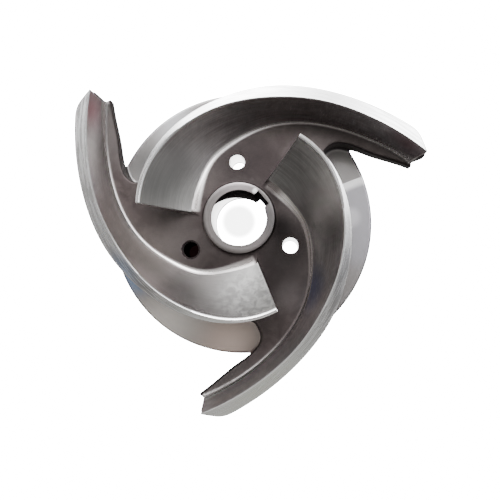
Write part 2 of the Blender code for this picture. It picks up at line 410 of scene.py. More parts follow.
# Vane shapes.
# The vanes are cast with the back plate. Each starts thin at the hub, leans outward and winds back clockwise
# to the turned diameter. Its section in a plane through the shaft is two curved faces and a machined edge.
VANE_COUNT = 3
THIRD = 2.0 * math.pi / VANE_COUNT
VANE_ANGLE = math.radians(12.3)
TIP_RADIUS = 0.1970
SWEEP_END = 153.2
EYE_RADIUS = 0.1030
FRONT_EYE = 0.0270
FRONT_TIP = 0.0060
SWEEP = (0.0, 20.0, 40.0, 60.0, 80.0, 100.0, 120.0, 140.0, 153.2)
FRONT_RADIUS = (0.0970, 0.0995, 0.1010, 0.1042, 0.1106, 0.1218, 0.1415, 0.1700, 0.1960)
ROOT_RADIUS = (0.0418, 0.0447, 0.0526, 0.0661, 0.0802, 0.1019, 0.1268, 0.1572, 0.1814)
EDGE_WIDTH = (0.0040, 0.0045, 0.0060, 0.0076, 0.0100, 0.0132, 0.0130, 0.0145, 0.0150)
ROOT_WIDTH = (0.0090, 0.0110, 0.0140, 0.0160, 0.0170, 0.0180, 0.0185, 0.0190, 0.0190)
ROOT_HEIGHT = (-0.0081, -0.0088, -0.0111, -0.0158, -0.0211, -0.0290, -0.0349, -0.0321, -0.0213)
FOOT_SLOPE = (1.67, 1.12, 0.60, 0.30, 0.0, 0.0, 0.0, 0.0, 0.0)
BEND_OUT = 0.58
BEND_UP = 0.36


def spline(xs, ys, x):
    """Natural cubic spline through the points (xs, ys), taken at every x at once."""
    xs, ys = np.asarray(xs, float), np.asarray(ys, float)
    n, h = len(xs), np.diff(xs)
    a = np.diag(np.r_[1.0, 2.0 * (h[:-1] + h[1:]), 1.0])
    a += np.diag(np.r_[0.0, h[1:]], 1) + np.diag(np.r_[h[:-1], 0.0], -1)
    rise = np.diff(ys) / h
    c = np.linalg.solve(a, np.r_[0.0, 3.0 * np.diff(rise), 0.0])
    k = np.clip(np.searchsorted(xs, x, side="right") - 1, 0, n - 2)
    t = x - xs[k]
    slope = rise[k] - h[k] * (2.0 * c[k] + c[k + 1]) / 3.0
    return ys[k] + slope * t + c[k] * t * t + (c[k + 1] - c[k]) / (3.0 * h[k]) * t ** 3


def front_cone(radius):
    """Height of the cone to which the vane fronts are turned."""
    fall = (FRONT_EYE - FRONT_TIP) / (TIP_RADIUS - EYE_RADIUS)
    return FRONT_EYE - fall * np.maximum(0.0, radius - EYE_RADIUS)


sweep_rows = np.linspace(0.0, SWEEP_END, 1024)
front, root, edge, foot, low = (spline(SWEEP, row, sweep_rows) for row in
                                (FRONT_RADIUS, ROOT_RADIUS, EDGE_WIDTH, ROOT_WIDTH, ROOT_HEIGHT))
high = front_cone(front)
chord = np.hypot(front - root, high - low)
out_r, out_z = (high - low) / chord, -(front - root) / chord
bend_r, bend_z = root + BEND_OUT * (front - root), low + BEND_UP * (high - low)
half = 0.5 * (edge + foot)
foot_slope = np.interp(sweep_rows, SWEEP, FOOT_SLOPE)
CONCAVE = (front, high, bend_r, bend_z, root, low, foot_slope)
CONVEX = (front + edge, front_cone(front + edge), bend_r + out_r * half, bend_z + out_z * half,
          root + out_r * foot, low + out_z * foot, foot_slope)


def sweep_from(index, angle):
    """Sweep in degrees from a vane's leading edge to an angle, from 103 before it to 257 behind it."""
    return (np.degrees(VANE_ANGLE + THIRD * index - angle) + 103.0) % 360.0 - 103.0


def face_radius(face, sweep, height):
    """Radius and lean of a vane face at a height. The face is a quadratic curve, for radius and height alike
    r0 + 2u(r1 - r0) + u^2(r0 - 2r1 + r2), with u solved from the height, and is straight below its end."""
    r0, z0, r1, z1, r2, z2, run = (np.interp(sweep, sweep_rows, row) for row in face)
    a, b, c = z0 - 2.0 * z1 + z2, 2.0 * (z1 - z0), z0 - height
    u = np.clip(2.0 * c / (-b + np.sqrt(np.maximum(b * b - 4.0 * a * c, 1e-12))), -0.3, 1.0)
    below = np.maximum(z2 - height, 0.0)
    radius = r0 + 2.0 * u * (r1 - r0) + u * u * (r0 - 2.0 * r1 + r2) - run * below
    lean = ((1.0 - u) * (r1 - r0) + u * (r2 - r1)) / ((1.0 - u) * (z1 - z0) + u * (z2 - z1))
    return radius, np.where(below > 0.0, run, lean)


# Channel floor.
# The casting between the vanes: the raised floor with its lobed edge, which runs out along each vane as a
# narrow strip, the round plate behind it, and the fillets where floor, hub and vanes meet.
DISC_RADIUS = 0.1380
LEDGE = -0.0720
BACK_FACE = -0.0840
HOLE_RADIUS = 0.0080
HOLE_ANGLE = math.radians(HOLE_TURN)
HOLE_LIP = 0.0009
FLOOR_OUTER = ((15.0, 0.1050), (25.0, 0.0970), (40.0, 0.0910), (60.0, 0.0895), (80.0, 0.1035),
               (100.0, 0.1250), (120.0, 0.1500), (140.0, 0.1810), (153.5, 0.2050))
FLOOR_CORNER = (153.5, 0.1832)
FLOOR_INNER = ((155.5, 0.1815), (150.0, 0.1630), (145.0, 0.1499), (140.0, 0.1409), (136.3, 0.1342),
               (133.6, 0.1272), (132.5, 0.1203), (132.8, 0.1135), (134.0, 0.1070))
FLOOR_TOP = ((0.0330, -0.0050), (0.0480, -0.0085), (0.0600, -0.0125), (0.0800, -0.0200), (0.1000, -0.0275),
             (0.1200, -0.0330), (0.1350, -0.0350), (0.1500, -0.0335), (0.1650, -0.0285), (0.1850, -0.0190),
             (0.2100, -0.0070))
FLOOR_BACK = ((0.0330, -0.0760), (0.1340, -0.0760), (0.1450, -0.0640), (0.1650, -0.0510),
              (0.1850, -0.0410), (0.2100, -0.0330))
DEGREE_LENGTH = 0.0023
VANE_FILLET = 0.0044
HUB_FILLET = 0.0020
LEDGE_FILLET = 0.0040
EDGE_ROUND = 0.0030
VANE_INSET = 0.0001
NOSE_ROUND = 0.001
LOBE_ROWS, LOBE_COLS = 420, 190
CELL = 0.00125
NET_LAP = 0.0010
NET_TOP = -0.0012
ROOT_SPREAD = 0.7
FLOOR_EASE = 0.9
REFLECTION_TURN = math.radians(-18.8)

radius_rows = np.linspace(0.030, 0.215, 600)
floor_top_rows = spline(*zip(*FLOOR_TOP), radius_rows)
floor_back_rows = np.interp(radius_rows, *zip(*FLOOR_BACK))


def smooth_line(rows, steps):
    """Even steps along a smooth line through points given by a sweep and a radius."""
    sweep, radius = np.array(rows).T
    run = np.r_[0.0, np.cumsum(np.hypot(np.diff(sweep) * DEGREE_LENGTH, np.diff(radius)))]
    t = np.linspace(0.0, run[-1], steps)
    return np.stack([spline(run, sweep, t), spline(run, radius, t)], 1)


def lobed_outline():
    """Outline of the raised floor: for each vane, out along its far side, round the tip and back along the
    strip."""
    lobe = np.concatenate([smooth_line(FLOOR_OUTER, 90), [FLOOR_CORNER], smooth_line(FLOOR_INNER, 60)])
    turns = VANE_ANGLE - THIRD * np.arange(VANE_COUNT)[:, None] - np.radians(lobe[:, 0])
    return placed(turns, lobe[:, 1]).reshape(-1, 2)


def outline_distance(points, outline):
    """Distance of each point to the nearest side of a closed outline, less than zero inside it."""
    start, end = outline, np.roll(outline, -1, 0)
    x, y = points.T
    best = np.full(len(points), 1e9)
    crossings = np.zeros(len(points), int)
    for (x0, y0), (x1, y1), (dx, dy) in zip(start, end, end - start):
        t = np.clip(((x - x0) * dx + (y - y0) * dy) / (dx * dx + dy * dy + 1e-18), 0.0, 1.0)
        best = np.minimum(best, (x - x0 - t * dx) ** 2 + (y - y0 - t * dy) ** 2)
        spans = (y0 > y) != (y1 > y)
        crossings += spans & (x < x0 + (y - y0) * dx / (dy if dy else 1e-18))
    return np.where(crossings % 2 == 1, -1.0, 1.0) * np.sqrt(best)


lobe_radius = np.linspace(0.030, 0.2195, LOBE_COLS)
lobe_angle = THIRD * np.arange(LOBE_ROWS)[:, None] / LOBE_ROWS
lobe_spots = placed(lobe_angle, lobe_radius).reshape(-1, 2)
lobe_table = outline_distance(lobe_spots, lobed_outline()).reshape(LOBE_ROWS, LOBE_COLS)


def lobe_distance(angle, radius):
    """Distance to the lobed outline, from a table over one third of a turn, linear between its points."""
    u = (angle % THIRD) / THIRD * LOBE_ROWS
    v = np.clip((radius - lobe_radius[0]) / (lobe_radius[1] - lobe_radius[0]), 0.0, LOBE_COLS - 1.001)
    i, j = np.floor(u).astype(int), np.floor(v).astype(int)
    fu, fv = u - i, v - j
    i, k = i % LOBE_ROWS, (i + 1) % LOBE_ROWS
    return ((1.0 - fu) * ((1.0 - fv) * lobe_table[i, j] + fv * lobe_table[i, j + 1])
            + fu * ((1.0 - fv) * lobe_table[k, j] + fv * lobe_table[k, j + 1]))


def blend(a, b, width):
    """The smaller of two distances, with the corner between them filled by a fillet of about this width."""
    h = np.maximum(width - np.abs(a - b), 0.0)
    return np.minimum(a, b) - h * h / (4.0 * width)


def face_distance(face, sweep, radius, height):
    """How far a point lies outside a vane face: the radial gap times the cosine of its lean and spiral."""
    at, lean = face_radius(face, sweep, height)
    ahead, behind = face_radius(face, sweep + 0.5, height)[0], face_radius(face, sweep - 0.5, height)[0]
    spiral = (ahead - behind) / (math.radians(1.0) * np.maximum(at, 0.01))
    return (radius - at) / np.sqrt(1.0 + lean * lean + spiral * spiral)


def vane_distance(angle, radius, height):
    """Distance to the nearest vane: within its faces, between leading edge and end, above the strip."""
    nearest = 1e9
    for index in range(VANE_COUNT):
        sweep = sweep_from(index, angle)
        body = -blend(face_distance(CONCAVE, sweep, radius, height),
                      -face_distance(CONVEX, sweep, radius, height), NOSE_ROUND)
        ends = np.maximum(-np.radians(sweep) * radius, np.radians(sweep - SWEEP_END) * radius)
        nearest = np.minimum(nearest, np.maximum(body, ends))
    return np.maximum(nearest, np.interp(radius, radius_rows, floor_back_rows) - height)


def ground_distance(angle, radius, height):
    """Distance to hub, raised floor and back plate, with their fillets."""
    hub_side = (radius - HUB_RADIUS + HUB_FLARE * height) / math.hypot(1.0, HUB_FLARE)
    top = height - np.interp(radius, radius_rows, floor_top_rows)
    back = np.interp(radius, radius_rows, floor_back_rows) - height
    raised = -blend(-top, -lobe_distance(angle, radius), EDGE_ROUND)
    raised = -blend(-raised, -back, EDGE_ROUND)
    plate = -blend(LEDGE - height, DISC_RADIUS - radius, EDGE_ROUND)
    return blend(blend(raised, plate, LEDGE_FILLET), hub_side, HUB_FILLET)


def hole_distance(angle, radius):
    """Distance to the nearest balance hole's wall, less than zero in the hole."""
    nearest = 1e9
    for index in range(VANE_COUNT):
        off = angle - HOLE_ANGLE - THIRD * index
        across = radius ** 2 + HOLE_CIRCLE ** 2 - 2.0 * radius * HOLE_CIRCLE * np.cos(off)
        nearest = np.minimum(nearest, np.sqrt(np.maximum(across, 1e-12)) - HOLE_RADIUS)
    return nearest


def casting_distance(angle, radius, height):
    """Distance to the cast floor with the feet of the vanes, cut at the turned diameter and at the holes."""
    body = blend(ground_distance(angle, radius, height),
                 vane_distance(angle, radius, height) + VANE_INSET, VANE_FILLET)
    body = np.maximum(body, radius - TIP_RADIUS)
    return np.maximum(body, HOLE_LIP - hole_distance(angle, radius))


def surface_net(value, last_row):
    """Surface where a grid of values changes sign: one point in each cell that it passes, at the mean of its
    crossings, and one quad round each grid line that it cuts, on the rows from one to last_row."""
    cell_shape = np.array(value.shape) - 1
    total = np.zeros((np.prod(cell_shape), 3))
    count = np.zeros(np.prod(cell_shape))
    quads = []
    for axis in range(3):
        lower = np.arange(value.shape[axis] - 1)
        a, b = value.take(lower, axis), value.take(lower + 1, axis)
        spot = np.argwhere((a < 0.0) != (b < 0.0))
        va, vb = a[tuple(spot.T)], b[tuple(spot.T)]
        place = spot.astype(float)
        place[:, axis] += va / (va - vb)
        cells = []
        whole = np.ones(len(spot), bool)
        for step in ((0, 0, 0), (0, 1, 0), (0, 1, 1), (0, 0, 1)):
            cell = spot - np.roll(step, axis)
            fits = np.all((cell >= 0) & (cell < cell_shape), 1)
            number = np.ravel_multi_index(np.where(fits[:, None], cell, 0).T, cell_shape)
            for k in range(3):
                total[:, k] += np.bincount(number[fits], place[fits, k], len(count))
            count += np.bincount(number[fits], minlength=len(count))
            whole &= fits
            cells.append(number)
        whole &= (spot[:, 0] >= 1) & (spot[:, 0] <= last_row)
        ring = np.stack(cells, 1)
        ring = np.where((va > vb)[:, None], ring, ring[:, ::-1])
        quads.append(ring[whole])
    used, quads = np.unique(np.concatenate(quads), return_inverse=True)
    return total[used] / count[used][:, None], quads.reshape(-1, 4)


def polar(points):
    """Angle round the shaft and radius of each point, and its height where it has one."""
    x, y, *height = points.T
    return np.arctan2(y, x), np.hypot(x, y), *height


def distance_at(points):
    """Distance of the casting at points given by x, y and the height below the hub's face."""
    return casting_distance(*polar(points))


def slope_at(points, reach=2e-5):
    """Direction in which the distance grows fastest, from its values a short reach away along each axis."""
    return np.stack([distance_at(points + reach * step) - distance_at(points - reach * step)
                     for step in np.eye(3)], 1) / (2.0 * reach)


def unit(vectors):
    """The same directions with a length of one."""
    return vectors / np.linalg.norm(vectors, axis=1, keepdims=True)


# The net over the distance grid, moved onto the surface itself and cut away under the hub and up the vanes.
angle_steps = int(round(THIRD * TIP_RADIUS / CELL))
angle_nodes = THIRD / angle_steps * np.arange(-1, angle_steps + 2)
radius_nodes = np.arange(0.0320, 0.1995, CELL)
height_nodes = np.arange(-0.0818, 0.0020, CELL)
field = casting_distance(angle_nodes[:, None, None], radius_nodes[None, :, None], height_nodes[None, None, :])
net_points, net_quads = surface_net(field, angle_steps)
net_angle = angle_nodes[0] + net_points[:, 0] * (angle_nodes[1] - angle_nodes[0])
net_radius = radius_nodes[0] + net_points[:, 1] * CELL
floor_points = placed(net_angle, net_radius, height_nodes[0] + net_points[:, 2] * CELL)
for _ in range(3):
    slope = slope_at(floor_points)
    steep = np.maximum(np.sum(slope * slope, 1, keepdims=True), 0.05)
    floor_points = floor_points - np.clip(distance_at(floor_points)[:, None] * slope / steep, -CELL, CELL)
floor_normals = unit(slope_at(floor_points))
ground = ground_distance(*polar(floor_points))
kept = ground[net_quads].min(1) < VANE_FILLET + NET_LAP
kept &= floor_points[net_quads, 2].max(1) < NET_TOP
used, net_quads = np.unique(net_quads[kept], return_inverse=True)
net_quads = net_quads.reshape(-1, 4)
floor_points, floor_normals, ground = floor_points[used], floor_normals[used], ground[used]

# The slope's normals, but the net's own at kinks, and eased towards straight up on the broad floor.
corners = floor_points[net_quads]
quad_normals = np.repeat(np.cross(corners[:, 2] - corners[:, 0], corners[:, 3] - corners[:, 1]), 4, axis=0)
net_normals = unit(np.stack([np.bincount(net_quads.ravel(), quad_normals[:, k], len(floor_points))
                             for k in range(3)], 1))
at_kink = np.sum(net_normals * floor_normals, 1, keepdims=True) < 0.8
floor_normals = np.where(at_kink, net_normals, floor_normals)
net_turn, net_reach, net_height = polar(floor_points)
vane_gap = vane_distance(net_turn, net_reach, net_height) + VANE_INSET
climb = np.clip((ground - vane_gap) / VANE_FILLET, 0.0, 1.0)
root_line = np.clip(1.0 - (vane_gap - ground) / (ROOT_SPREAD * VANE_FILLET), 0.0, 1.0)
broad_floor = np.clip((floor_normals[:, 2] - 0.80) / 0.12, 0.0, 1.0) * (1.0 - root_line)
floor_normals[:, 2] += FLOOR_EASE * broad_floor
floor_normals = unit(floor_normals)

# The root line carries a painted highlight only on the hollow side of each vane, behind its leading edge.
hollow_side = np.zeros(len(floor_points))
for index in range(VANE_COUNT):
    net_sweep = sweep_from(index, net_turn)
    inside = face_radius(CONCAVE, net_sweep, net_height)[0] + VANE_FILLET - net_reach
    share = np.clip(inside / (0.5 * VANE_FILLET), 0.0, 1.0) * (inside < 4.0 * VANE_FILLET)
    share *= np.clip((net_sweep - 0.5) / 4.0, 0.0, 1.0) * (net_sweep < 170.0)
    hollow_side = np.maximum(hollow_side, share)
root_line *= hollow_side


def put_mask(piece, name, values):
    """Float attribute on the points of a piece, which its material reads as a mask."""
    layer = piece.data.attributes.new(name, "FLOAT", "POINT")
    layer.data.foreach_set("value", np.ascontiguousarray(values, np.float32))


def mask_of(tree, name):
    """Value of a piece's own mask."""
    return add_node(tree, "Attribute", {}, attribute_name=name).outputs["Fac"]


channel_steel, tree, shader, point = steel("channel_steel")
skin = skin_of(tree, point, 0.0011)
blotch = skin_of(tree, point, 0.0034)
marks = marks_of(tree, point, 0.0016)
paint = mixed(tree, skin["Mottle"], (0.060, 0.049, 0.048), (0.084, 0.070, 0.068))
paint = mixed(tree, times(tree, blotch["Mottle"], 0.55), paint, (0.080, 0.071, 0.068))
# Painted shade and light: darker daubs where the floor lies in shade, paler where it catches light, two
# highlights.
paint = daubed(tree, point, paint, (
    (-66.0, 0.052, -0.012, 0.052, 0.90, (0.018, 0.015, 0.015)),
    (-100.0, 0.075, -0.012, 0.045, 0.60, (0.040, 0.034, 0.034)),
    (-4.0, 0.046, -0.012, 0.032, 0.90, (0.012, 0.010, 0.010)),
    (-50.0, 0.040, -0.012, 0.022, 0.90, (0.006, 0.005, 0.005)),
    (50.0, 0.056, -0.012, 0.048, 0.95, (0.024, 0.020, 0.020)),
    (28.0, 0.070, -0.012, 0.050, 0.85, (0.026, 0.021, 0.021)),
    (-135.0, 0.165, -0.012, 0.060, 0.90, (0.020, 0.019, 0.018)),
    (162.0, 0.075, -0.012, 0.050, 0.80, (0.170, 0.150, 0.145)),
    (100.0, 0.160, -0.012, 0.070, 0.75, (0.20, 0.182, 0.178)),
    (-98.0, 0.098, -0.012, 0.030, 0.60, (0.20, 0.18, 0.178)),
    (42.0, 0.0390, -0.012, 0.0065, 0.40, (0.24, 0.215, 0.21)),
    (32.0, 0.0400, -0.012, 0.0065, 0.40, (0.28, 0.25, 0.245))))
ledge = eased(tree, part_of(tree, point, 2), HUB_FRONT_Z + LEDGE + 0.0060, HUB_FRONT_Z + LEDGE + 0.0015)
ledge_paint = mixed(tree, marks["Streak"], (0.300, 0.288, 0.284), (0.320, 0.308, 0.304))
# Painted reflections on the flat ledge: paler, pinker, darker and bluish daubs round it.
ledge_paint = daubed(tree, point, ledge_paint, (
    (-137.0, 0.125, LEDGE, 0.060, 0.95, (0.78, 0.65, 0.58)),
    (-168.0, 0.125, LEDGE, 0.060, 0.90, (1.0, 0.97, 0.92)),
    (0.0, 0.125, LEDGE, 0.060, 1.0, (0.25, 0.243, 0.240)),
    (108.0, 0.125, LEDGE, 0.035, 0.85, (0.15, 0.147, 0.145)),
    (84.0, 0.125, LEDGE, 0.035, 0.70, (0.66, 0.66, 0.69)),
    (166.2, 0.125, LEDGE, 0.032, 0.90, (0.36, 0.50, 0.74))))
# Painted reflection on one ledge: past a straight radial line it is bright, whitest at the line, with a grey
# spot.
across_line = (-math.sin(REFLECTION_TURN), math.cos(REFLECTION_TURN), 0.0)
past_line = vector_maths(tree, "DOT_PRODUCT", point, across_line)
ledge_reflection = times(tree, eased(tree, past_line, 0.0006, -0.0006),
              patch(tree, point, round_spot(-36.0, 0.125, LEDGE), 0.066, 0.040))
reflection_paint = mixed(tree, eased(tree, past_line, -0.0110, -0.0040), (0.38, 0.375, 0.40), (1.0, 1.0, 1.0))
reflection_paint = daubed(tree, point, reflection_paint, (
    (-37.0, 0.116, LEDGE, 0.014, 1.0, (0.56, 0.555, 0.58), 0.005),))
ledge_paint = mixed(tree, ledge_reflection, ledge_paint, reflection_paint)
paint = mixed(tree, ledge, paint, ledge_paint)
# Painted highlight along the root line: pale at the fillet's foot, less up the fillet, dimmer in three daubs.
root_highlight = mask_of(tree, "root_line")
climbing = mask_of(tree, "climb")
crease = daubed(tree, point, (0.80, 0.77, 0.755), (
    (20.0, 0.135, -0.03, 0.085, 0.7, (0.40, 0.37, 0.36), 0.04),
    (-75.0, 0.100, -0.02, 0.100, 0.9, (0.30, 0.262, 0.252), 0.06)))
crease = mixed(tree, climbing, crease, (0.66, 0.63, 0.61))
crease = daubed(tree, point, crease, ((6.0, 0.047, -0.012, 0.020, 0.9, (0.13, 0.112, 0.108), 0.008),))
paint = mixed(tree, root_highlight, paint, crease)
dull = eased(tree, skin["Height"], 0.2, 0.8, 0.44, 0.62)
polish = times(tree, root_highlight, eased(tree, climbing, 0.0, 1.0, 0.8, 0.2))
polish = maths(tree, "MAXIMUM", polish, times(tree, ledge, 0.55))
dress(tree, shader, paint, eased(tree, polish, 0.0, 1.0, dull, 0.20), skin["Height"], 0.00006,
      eased(tree, root_highlight, 0.0, 1.0, 1.0, 0.2))

for index in range(VANE_COUNT):
    turned = np.array(Matrix.Rotation(THIRD * index, 3, "Z")).T
    piece = put_mesh(f"channel_floor_{index + 1}", floor_points @ turned + [0.0, 0.0, HUB_FRONT_Z], net_quads)
    piece.data.normals_split_custom_set_from_vertices(floor_normals @ turned)
    put_mask(piece, "root_line", root_line)
    put_mask(piece, "climb", climb)
    belongs(piece, channel_steel)


# Vanes.
# Each vane is one skin of steel, from its foot on the hollow side, over the machined front edge, down to its
# foot on the far side. The front edge is turned with crisp corners, and the leading edge is a rounded nose.
STATIONS = 330
FACE_ROWS = 44
LAND_ROWS = 9
ROW_EASE = 0.9
FOOT_SINK = 0.002
FAR_FOOT_SINK = 0.001
CORNER = 0.0008
TIP_EASE = 0.0050
NOSE_ROWS = 7
NOSE_LENGTH = 0.35
NOSE_DROP = 0.0004
VANE_CORNER = math.radians(38.0)


def vane_skin(index):
    """Grid of points: up one side and down the other at each station of the sweep. A face point is at a share
    of the way from foot to front, and a front-edge point at a share of the way across the cone."""
    sweep = np.linspace(0.0, SWEEP_END, STATIONS)[:, None]
    share = np.linspace(0.0, 1.0, FACE_ROWS)[None, :] ** ROW_EASE
    low_z = np.interp(sweep, sweep_rows, low) - FOOT_SINK
    foot_z = np.interp(sweep, sweep_rows, CONVEX[5]) - FAR_FOOT_SINK
    top_in = np.interp(sweep, sweep_rows, front)
    top_out = blend(np.interp(sweep, sweep_rows, front + edge), TIP_RADIUS, TIP_EASE)
    top_out = np.minimum(np.maximum(top_out, top_in + 2.5 * CORNER), TIP_RADIUS)
    z_in = low_z + share * (front_cone(top_in) - CORNER - low_z)
    z_out = foot_z + share * (front_cone(top_out) - CORNER - foot_z)
    r_in = np.minimum(face_radius(CONCAVE, sweep, z_in)[0], TIP_RADIUS)
    r_out = np.minimum(blend(face_radius(CONVEX, sweep, z_out)[0], TIP_RADIUS, TIP_EASE), TIP_RADIUS)
    across = np.linspace(0.0, 1.0, LAND_ROWS)[None, :]
    r_land = top_in + CORNER + across * (top_out - top_in - 2.0 * CORNER)
    z_land = front_cone(r_land)
    radius = np.concatenate([r_in, r_land, r_out[:, ::-1]], 1)
    height = np.concatenate([z_in, z_land, z_out[:, ::-1]], 1)
    angle = VANE_ANGLE + THIRD * index - np.radians(sweep) + 0.0 * radius

    mid_r, mid_z = 0.5 * (r_in[0] + r_out[0]), 0.5 * (z_in[0] + z_out[0])
    middle_r = np.concatenate([mid_r, np.full(LAND_ROWS, mid_r[-1]), mid_r[::-1]])
    middle_z = np.concatenate([mid_z, np.full(LAND_ROWS, z_land[0].mean() - NOSE_DROP), mid_z[::-1]])
    turn = np.linspace(0.5 * math.pi, 0.0, NOSE_ROWS, endpoint=False)[:, None]
    nose_r = middle_r + (radius[0] - middle_r) * np.cos(turn)
    nose_z = middle_z + (height[0] - middle_z) * np.cos(turn)
    depth = NOSE_LENGTH * np.abs(radius[0] - middle_r)
    nose_angle = angle[0] + depth / middle_r * np.sin(turn)
    end_r = 0.5 * (radius[-1] + radius[-1, ::-1])
    end_z = 0.5 * (height[-1] + height[-1, ::-1])
    radius = np.concatenate([nose_r, radius, end_r[None]])
    height = np.concatenate([nose_z, height, end_z[None]])
    angle = np.concatenate([nose_angle, angle, angle[-1:]])
    return ring_point(angle, radius, height)


def lengths_on(skin):
    """Metres along the sweep and across the section for each point of a grid."""
    along = np.linalg.norm(np.diff(skin, axis=0, prepend=skin[:1]), axis=2).mean(1).cumsum()
    across = np.linalg.norm(np.diff(skin, axis=1, prepend=skin[:, :1]), axis=2).cumsum(1)
    across -= across[:, FACE_ROWS:FACE_ROWS + 1].copy()
    return np.stack(np.broadcast_arrays(along[:, None], across), -1).reshape(-1, 2)


tree, given, wanted = effect_group(
    "ground_marks", {"Along": NO_PLACE, "Length": 0.05, "Pitch": 0.0008}, ["Height", "Streak"])
ground_marks = tree
stretch = add_node(tree, "CombineXYZ", {0: given["Length"], 1: given["Pitch"], 2: 1.0}).outputs[0]
stretch = vector_maths(tree, "DIVIDE", given["Along"], stretch)
scratch = add_node(tree, "TexNoise", {"Vector": stretch, "Scale": 1.0, "Detail": 4.0, "Roughness": 0.6,
                                      "Distortion": 0.2}).outputs["Fac"]
tree.links.new(scratch, wanted["Height"])
tree.links.new(eased(tree, scratch, 0.35, 0.65), wanted["Streak"])


def lengths_of(tree):
    """Lengths along and across the vane, in metres."""
    return add_node(tree, "UVMap", {}, uv_map="along").outputs[0]


def brush_of(tree, length, pitch):
    """Grinding marks effect, with marks of a length and a pitch."""
    feeds = {"Along": lengths_of(tree), "Length": length, "Pitch": pitch}
    return add_node(tree, "Group", feeds, node_tree=ground_marks).outputs


vane_face, tree, shader, point = steel("vane_face")
brush = brush_of(tree, 0.045, 0.0011)
skin = skin_of(tree, point, 0.0007)
paint = mixed(tree, brush["Streak"], (0.29, 0.285, 0.275), (0.36, 0.355, 0.345))
worn = mixed(tree, brush["Streak"], (0.70, 0.655, 0.65), (0.82, 0.775, 0.77))
paint = mixed(tree, eased(tree, part_of(tree, lengths_of(tree), 0), 0.02, 0.12), paint, worn)
dim = mixed(tree, 0.15, paint, (0.20, 0.185, 0.18))
paint = mixed(tree, times(tree, skin["Mottle"], 0.7), paint, dim)
# Reddish tints at the tips; the other daubs are painted light, painted shade and a painted blue reflection.
paint = daubed(tree, point, paint, (
    (104.2, 0.183, 0.0, 0.034, 0.85, (0.78, 0.42, 0.46)),
    (-16.0, 0.183, 0.0, 0.034, 0.80, (0.36, 0.225, 0.235)),
    (-136.0, 0.183, 0.0, 0.030, 0.60, (0.58, 0.49, 0.48)),
    (-84.0, 0.099, -0.018, 0.036, 0.80, (0.42, 0.47, 0.70)),
    (150.0, 0.125, 0.0, 0.070, 0.60, (0.86, 0.83, 0.78)),
    (112.0, 0.160, 0.0, 0.045, 0.60, (0.86, 0.83, 0.78)),
    (200.0, 0.082, 0.005, 0.055, 0.90, (0.18, 0.176, 0.17)),
    (-38.0, 0.083, 0.0, 0.055, 0.85, (0.22, 0.206, 0.20)),
    (169.0, 0.092, 0.0, 0.040, 0.80, (0.34, 0.34, 0.322)),
    (-125.0, 0.080, 0.01, 0.050, 0.65, (0.20, 0.196, 0.19)),
    (99.0, 0.079, 0.0, 0.036, 0.70, (0.18, 0.175, 0.17)),
    (-42.0, 0.086, 0.008, 0.046, 0.90, (0.10, 0.093, 0.09)),
    (120.0, 0.085, 0.01, 0.036, 0.60, (0.17, 0.168, 0.162))))
# Painted highlights in soft, patchy spots near one vane's leading edge.
highlight_mottle = skin_of(tree, point, 0.00035)
patchy_highlight = times(tree, highlight_mottle["Mottle"], patch(tree, point, round_spot(-118.0, 0.084, 0.010), 0.050, 0.020))
paint = mixed(tree, times(tree, patchy_highlight, 0.45), paint, (0.60, 0.595, 0.575))
dress(tree, shader, paint, eased(tree, brush["Streak"], 0.0, 1.0, 0.28, 0.40), brush["Height"], 0.00004)

vane_front, tree, shader, point = steel("vane_front")
brush = brush_of(tree, 0.030, 0.0022)
marks = marks_of(tree, point, 0.0003)
skin = skin_of(tree, point, 0.0009)
paint = mixed(tree, brush["Streak"], (0.72, 0.72, 0.715), (0.82, 0.82, 0.815))
paint = mixed(tree, times(tree, skin["Mottle"], 0.35), paint, (0.66, 0.66, 0.645))
# Painted highlights where the fronts face the light, painted shade elsewhere and a painted blue reflection.
paint = daubed(tree, point, paint, (
    (166.2, 0.133, 0.015, 0.034, 0.80, (0.36, 0.52, 0.78)),
    (-122.0, 0.180, 0.015, 0.075, 0.90, (0.74, 0.74, 0.69)),
    (-66.0, 0.112, 0.015, 0.062, 0.90, (0.42, 0.42, 0.43)),
    (50.0, 0.130, 0.015, 0.100, 0.95, (1.0, 1.0, 1.0)),
    (-8.0, 0.190, 0.015, 0.075, 0.95, (1.0, 1.0, 1.0)),
    (111.0, 0.184, 0.015, 0.045, 0.80, (0.98, 0.98, 0.98)),
    (24.5, 0.140, 0.015, 0.035, 0.80, (0.74, 0.74, 0.74))))
# Painted highlight: a white line along the corners of the machined front edge.
paint = mixed(tree, mask_of(tree, "corner"), paint, (1.0, 1.0, 0.99))
dress(tree, shader, paint, eased(tree, brush["Streak"], 0.0, 1.0, 0.20, 0.32), marks["Height"], 0.00001)

for index in range(VANE_COUNT):
    grid = vane_skin(index)
    vane = put_grid(f"vane_{index + 1}", grid, VANE_CORNER, False, True, lengths_on(grid))
    col = np.arange(len(vane.data.polygons)) % (grid.shape[1] - 1)
    on_land = (col >= FACE_ROWS - 1) & (col < FACE_ROWS + LAND_ROWS)
    vane.data.polygons.foreach_set("material_index", on_land.astype(np.int32))
    corner = np.zeros(grid.shape[:2])
    corner[:, [FACE_ROWS - 1, FACE_ROWS, FACE_ROWS + LAND_ROWS - 1, FACE_ROWS + LAND_ROWS]] = 1.0
    put_mask(vane, "corner", corner.ravel())
    belongs(vane, vane_face, vane_front)


# Back plate.
# The back of the casting is turned flat, with a low boss round the bore and a broken outer edge. The balance
# holes come out on it.
BOSS_RADIUS = 0.0480
BOSS_FOOT = 0.0020
RIM_ROUND = 0.0010
BACK_BREAK = 0.0005
RIM_STEPS = 360
BOSS_STEPS = 240
HOLE_STEPS = 48


def lathe_grid(profile, steps):
    """Rings round the shaft, one for each (radius, height) point of a profile."""
    angle = np.linspace(0.0, 2.0 * math.pi, steps, endpoint=False)[:, None]
    return ring_point(angle, *np.array(profile).T)


